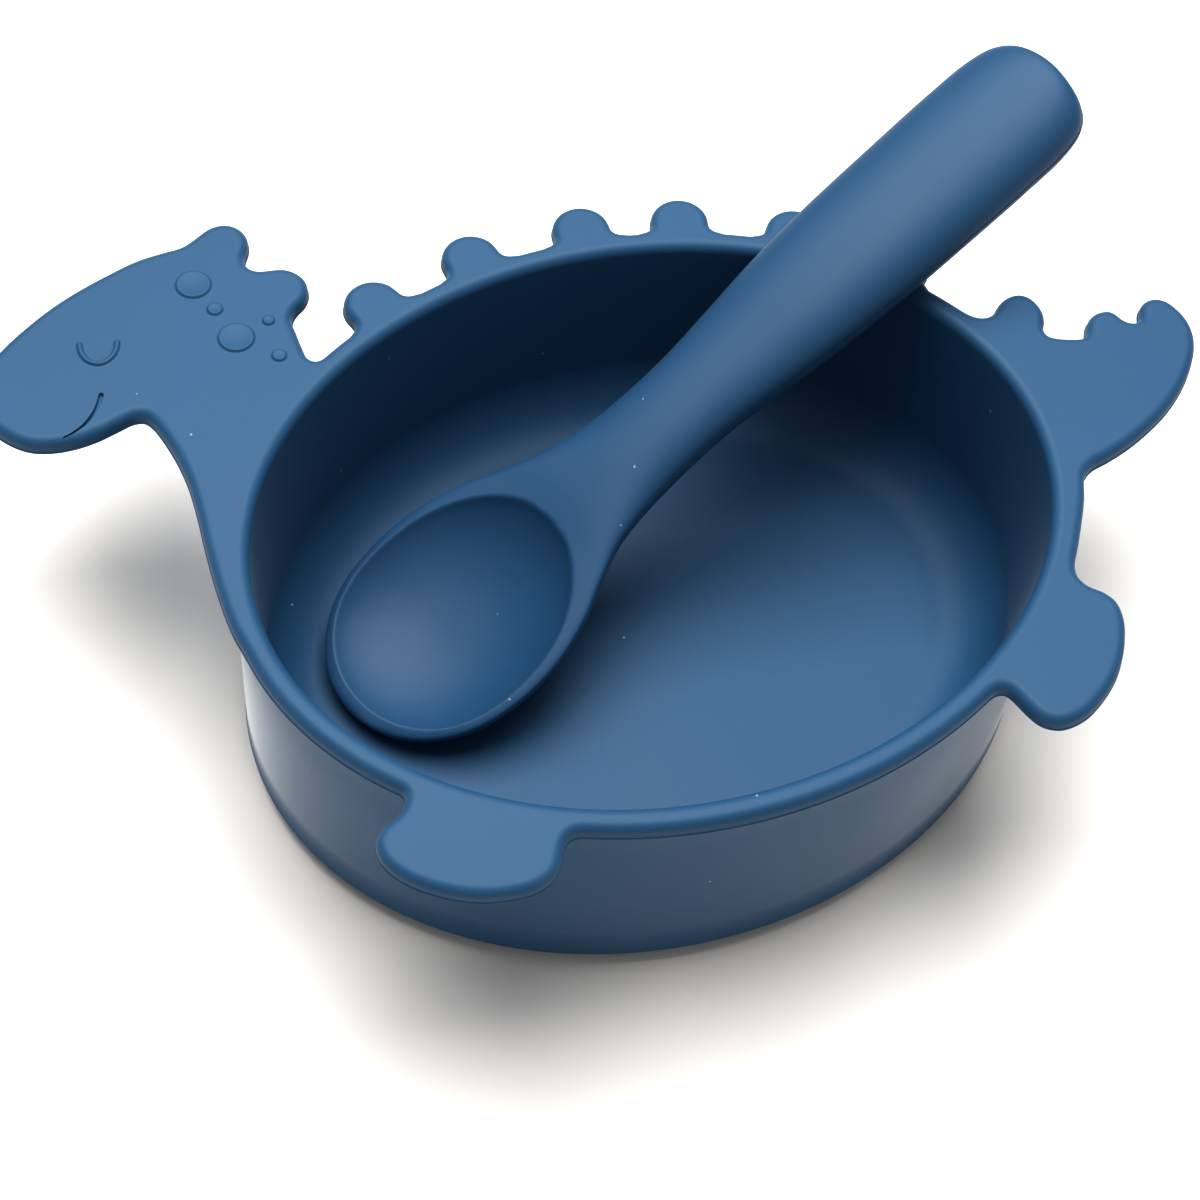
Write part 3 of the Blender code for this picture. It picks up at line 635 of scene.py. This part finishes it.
def make_spoon(material):
    """The spoon: a deep scoop with a rolled lip, a neck that flows into it, a thick handle, a fine parting line."""
    stations = spline_through(SPOON_STATIONS, 330)
    half_turn = 72
    fine = np.linspace(0, pi, half_turn + 1)
    surface = Surface()
    rings = []
    for x, half, top, bottom in stations:
        blend = min(1.0, max(0.0, (x - 34.0) / 26.0))
        blend = blend * blend * (3 - 2 * blend)
        equator = (1 - blend) * (top - min(1.7, 0.45 * (top - bottom))) + blend * (top + bottom) / 2
        ring = []
        flash = FLASH if half > 1.5 else 0.0
        for sign in (1, -1):
            for k, a in enumerate(fine[:-1]):
                c, s = cos(a) * sign, sin(a)
                if sign > 0:
                    scoop = (half * abs(c) ** 0.8 * np.sign(c), equator + (top - equator) * s**0.45)
                    handle = (half * abs(c) ** 0.88 * np.sign(c), equator + (top - equator) * s**0.88)
                else:
                    scoop = (half * abs(c) ** 0.9 * np.sign(c), equator - (equator - bottom) * s)
                    handle = (half * abs(c) ** 0.88 * np.sign(c), equator - (equator - bottom) * s**0.88)
                y = (1 - blend) * scoop[0] + blend * handle[0]
                z = (1 - blend) * scoop[1] + blend * handle[1]
                if k == 0:
                    ring.append((x, y - 0.002 * np.sign(y), z - 0.09 * sign))
                    ring.append((x, y + flash * np.sign(y), z))
                    ring.append((x, y - 0.002 * np.sign(y), z + 0.09 * sign))
                else:
                    ring.append((x, y, z))
        points = np.array(ring)
        upper = points[:, 2] > equator + 0.3 * (top - equator)
        points[upper, 2] -= hollow_depth(points[upper, 0], points[upper, 1])
        rings.append(surface.ring(points))
    surface.bands(rings)
    surface.faces.append(tuple(rings[0][::-1]))
    surface.faces.append(tuple(rings[-1]))
    place = (
        TO_ROW
        @ Matrix.Translation(Vector(SPOON_TIP) * MM)
        @ Matrix.Rotation(radians(SPOON_TURN), 4, "Z")
        @ Matrix.Rotation(-radians(SPOON_RISE), 4, "Y")
        @ Matrix.Rotation(radians(SPOON_ROLL), 4, "X")
    )
    return surface.object("feeding_spoon", material, place)


# ---- materials ----------------------------------------------------------------------------------------------------
SHEEN = 0.08
WALL_SHEEN = 1.0  # on the outside of the bowl's wall: painted sheen, standing in for the white table's reflection


def node(tree, kind, **inputs):
    made = tree.nodes.new(kind)
    for name, value in inputs.items():
        made.inputs[name.replace("_", " ")].default_value = value
    return made


def node_math(tree, operation, first, second):
    maths = tree.nodes.new("ShaderNodeMath")
    maths.operation = operation
    tree.links.new(first, maths.inputs[0])
    if isinstance(second, float):
        maths.inputs[1].default_value = second
    else:
        tree.links.new(second, maths.inputs[1])
    return maths.outputs["Value"]


def painted_sheen_weight(tree, place):
    """Sheen weight over the bowl: high on the wall's outside, under the flange, and low everywhere else. The high part
    is painted sheen that stands in for the white table's reflection.
    """
    link = tree.links.new
    spoke = tree.nodes.new("ShaderNodeVectorMath")
    spoke.operation = "SUBTRACT"
    spoke.inputs[1].default_value = (BOWL_CENTRE[0] * MM, BOWL_CENTRE[1] * MM, 0)
    link(place, spoke.inputs[0])
    facing = tree.nodes.new("ShaderNodeVectorMath")
    facing.operation = "MULTIPLY"
    link(spoke.outputs["Vector"], facing.inputs[0])
    link(tree.nodes.new("ShaderNodeNewGeometry").outputs["Normal"], facing.inputs[1])
    parts = tree.nodes.new("ShaderNodeSeparateXYZ")
    link(facing.outputs["Vector"], parts.inputs["Vector"])
    outward = node_math(tree, "ADD", parts.outputs["X"], parts.outputs["Y"])
    outward = node_math(tree, "GREATER_THAN", outward, 0.0)
    height = tree.nodes.new("ShaderNodeSeparateXYZ")
    link(place, height.inputs["Vector"])
    below = node_math(tree, "LESS_THAN", height.outputs["Z"], PAINTED_SHEEN_TOP * MM)
    both = node_math(tree, "MULTIPLY", outward, below)
    weight = node_math(tree, "MULTIPLY", both, WALL_SHEEN - SHEEN)
    return node_math(tree, "ADD", weight, SHEEN)


def silicone(name, colour, dark, roughness, speck_colour, painted_wall_sheen=False):
    """Matte moulded silicone: slow colour drift, a fine grain in the surface, and a few light specks of dust."""
    material = bpy.data.materials.new(name)
    material.use_nodes = True
    tree = material.node_tree
    link = tree.links.new
    shader = tree.nodes["Principled BSDF"]
    place = tree.nodes.new("ShaderNodeTexCoord").outputs["Object"]

    drift = node(tree, "ShaderNodeTexNoise", Scale=28.0, Detail=4.0, Roughness=0.55)
    link(place, drift.inputs["Vector"])
    tint = tree.nodes.new("ShaderNodeMix")
    tint.data_type = "RGBA"
    tint.inputs["A"].default_value = dark
    tint.inputs["B"].default_value = colour
    spread = tree.nodes.new("ShaderNodeMapRange")
    spread.inputs["From Min"].default_value = 0.3
    spread.inputs["From Max"].default_value = 0.7
    link(drift.outputs["Fac"], spread.inputs["Value"])
    link(spread.outputs["Result"], tint.inputs["Factor"])

    specks = node(tree, "ShaderNodeTexVoronoi", Scale=210.0, Randomness=1.0)
    link(place, specks.inputs["Vector"])
    near = tree.nodes.new("ShaderNodeMapRange")
    near.inputs["From Min"].default_value = 0.030
    near.inputs["From Max"].default_value = 0.050
    near.inputs["To Min"].default_value = 1.0
    near.inputs["To Max"].default_value = 0.0
    link(specks.outputs["Distance"], near.inputs["Value"])
    few = tree.nodes.new("ShaderNodeSeparateColor")
    link(specks.outputs["Color"], few.inputs["Color"])
    chosen = node_math(tree, "GREATER_THAN", few.outputs["Red"], 0.80)
    dust = node_math(tree, "MULTIPLY", near.outputs["Result"], chosen)
    dusty = tree.nodes.new("ShaderNodeMix")
    dusty.data_type = "RGBA"
    dusty.inputs["B"].default_value = speck_colour
    link(dust, dusty.inputs["Factor"])
    link(tint.outputs["Result"], dusty.inputs["A"])
    link(dusty.outputs["Result"], shader.inputs["Base Color"])

    grain = node(tree, "ShaderNodeTexNoise", Scale=2600.0, Detail=3.0, Roughness=0.6)
    link(place, grain.inputs["Vector"])
    bump = node(tree, "ShaderNodeBump", Strength=0.35, Distance=0.00003)
    link(grain.outputs["Fac"], bump.inputs["Height"])
    shader.inputs["Sheen Weight"].default_value = SHEEN
    shader.inputs["Sheen Roughness"].default_value = 0.30
    # Painted sheen: the wall's outside gets far more sheen, standing in for the white table's reflection.
    if painted_wall_sheen:
        link(painted_sheen_weight(tree, place), shader.inputs["Sheen Weight"])
    link(bump.outputs["Normal"], shader.inputs["Normal"])
    dull = tree.nodes.new("ShaderNodeMapRange")
    dull.inputs["To Min"].default_value = roughness - 0.05
    dull.inputs["To Max"].default_value = roughness + 0.06
    link(drift.outputs["Fac"], dull.inputs["Value"])
    link(dull.outputs["Result"], shader.inputs["Roughness"])
    shader.inputs["IOR"].default_value = 1.43
    return material


# ---- table, light and camera --------------------------------------------------------------------------------------
def make_table():
    """A plain white table top that runs past the view on every side."""
    mesh = bpy.data.meshes.new("table")
    bm = bmesh.new()
    bmesh.ops.create_grid(bm, x_segments=2, y_segments=2, size=3.0)
    bm.to_mesh(mesh)
    bm.free()
    table = bpy.data.objects.new("table", mesh)
    bpy.context.scene.collection.objects.link(table)
    paper = bpy.data.materials.new("white_table")
    paper.use_nodes = True
    shader = paper.node_tree.nodes["Principled BSDF"]
    shader.inputs["Base Color"].default_value = (0.86, 0.845, 0.825, 1.0)
    shader.inputs["Roughness"].default_value = 0.75
    mesh.materials.append(paper)


def area_light(name, place, aim, width, height, power, colour):
    data = bpy.data.lights.new(name, "AREA")
    data.shape = "RECTANGLE"
    data.size = width
    data.size_y = height
    data.energy = power
    data.color = colour
    light = bpy.data.objects.new(name, data)
    bpy.context.scene.collection.objects.link(light)
    light.location = place
    light.rotation_euler = (Vector(aim) - Vector(place)).to_track_quat("-Z", "Y").to_euler()
    return light


def make_lights():
    """One wide soft light overhead and a little behind, with a dim room around, so that the table shines back."""
    area_light("ceiling", (0.05, 0.23, 0.82), (0.0, 0.0, 0.03), 0.80, 0.75, 14.5, (1.0, 0.985, 0.965))
    world = bpy.data.worlds.new("room")
    bpy.context.scene.world = world
    world.use_nodes = True
    background = world.node_tree.nodes["Background"]
    background.inputs["Color"].default_value = (1.0, 0.985, 0.965, 1.0)
    background.inputs["Strength"].default_value = 0.46


VIEW_TURN = -29.0  # degrees the camera stands round from the front, towards the nose
VIEW_DROP = 55.8  # degrees it looks down
VIEW_ROLL = 7.15  # degrees it leans
VIEW_AIM = (-14.8, -12.5, RIM_TOP)  # point in the middle of the picture, from the bowl's centre, in millimetres
VIEW_DISTANCE = 337.5
VIEW_LENS = 72.0  # on a 36 mm wide sensor


def make_camera():
    data = bpy.data.cameras.new("camera")
    data.lens = VIEW_LENS
    data.sensor_width = 36.0
    data.clip_start = 0.01
    camera = bpy.data.objects.new("camera", data)
    bpy.context.scene.collection.objects.link(camera)
    turn, drop = radians(VIEW_TURN), radians(VIEW_DROP)
    ahead = Vector((-sin(turn) * cos(drop), cos(turn) * cos(drop), -sin(drop)))
    aim = Vector(VIEW_AIM) + Vector((*BOWL_CENTRE, 0))
    camera.location = (aim - ahead * VIEW_DISTANCE) * MM
    right = Vector((cos(turn), sin(turn), 0))
    up = right.cross(ahead)
    lean = radians(VIEW_ROLL)
    right, up = right * cos(lean) + up * sin(lean), up * cos(lean) - right * sin(lean)
    camera.rotation_euler = Matrix((right, up, -ahead)).transposed().to_euler()
    bpy.context.scene.camera = camera


def main():
    make_camera()
    make_table()
    make_lights()
    bpy.context.scene.view_settings.view_transform = "Standard"
    bpy.context.scene.view_settings.gamma = 0.75

    slate = silicone(
        "slate_silicone", (0.023, 0.096, 0.190, 1), (0.020, 0.088, 0.178, 1), 0.54, (0.30, 0.36, 0.42, 1),
        painted_wall_sheen=True,
    )
    spoon_slate = silicone(
        "spoon_slate", (0.022, 0.087, 0.176, 1), (0.019, 0.080, 0.165, 1), 0.52, (0.25, 0.32, 0.38, 1)
    )
    # The suction base is near-black, as dark as it looks in the shade under the bowl's wall, so its colour holds
    # painted shade.
    dark_base_with_painted_shade = silicone(
        "near_black_silicone_with_painted_shade", (0.002, 0.003, 0.006, 1), (0.0015, 0.0025, 0.005, 1), 0.42, (0.1, 0.11, 0.13, 1)
    )

    bowl = make_bowl(slate)
    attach(bowl, "bowl")
    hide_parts("bowl_body")

    spoon = make_spoon(spoon_slate)
    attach(spoon, "spoon")
    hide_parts("spoon")

    base = make_base(dark_base_with_painted_shade)
    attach(base, "base")
    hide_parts("suction_base")
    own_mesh(base)


main()
